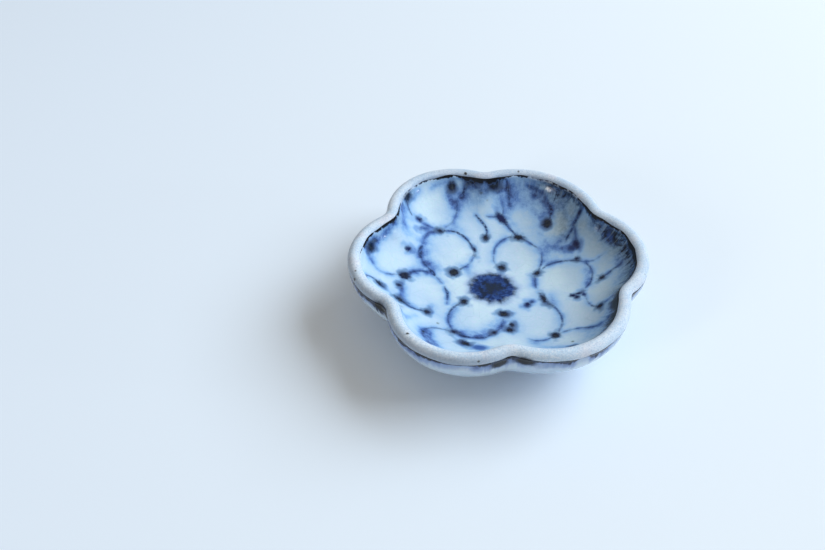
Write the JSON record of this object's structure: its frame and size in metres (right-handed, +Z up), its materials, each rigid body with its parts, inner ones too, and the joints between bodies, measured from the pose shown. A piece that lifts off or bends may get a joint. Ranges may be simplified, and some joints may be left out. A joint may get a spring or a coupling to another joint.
{
  "type": "soy sauce dish",
  "caption": "Small lobed stoneware dish for soy sauce: a shallow well, a rounded bare lip, a low foot ring, and scrolls painted in blue under a milky glaze.",
  "frame": {"origin": "on the table, under the middle of the foot ring", "axes": "+Z up out of the well, +X through the middle of a lobe"},
  "size_m": [0.09, 0.086, 0.023],
  "materials": {
    "body_clay": "satin off-white slip over pale stoneware",
    "foot_clay": "bare fired stoneware, matt",
    "painted_glaze": "glossy milky glaze over cobalt and iron painting",
    "outer_glaze": "glossy pale blue glaze"
  },
  "bodies": {
    "root": {"dish_body": "body_clay", "foot_ring": "foot_clay", "inner_glaze": "painted_glaze", "outer_glaze": "outer_glaze", "foot_well_glaze": "outer_glaze"}
  },
  "joints": []
}
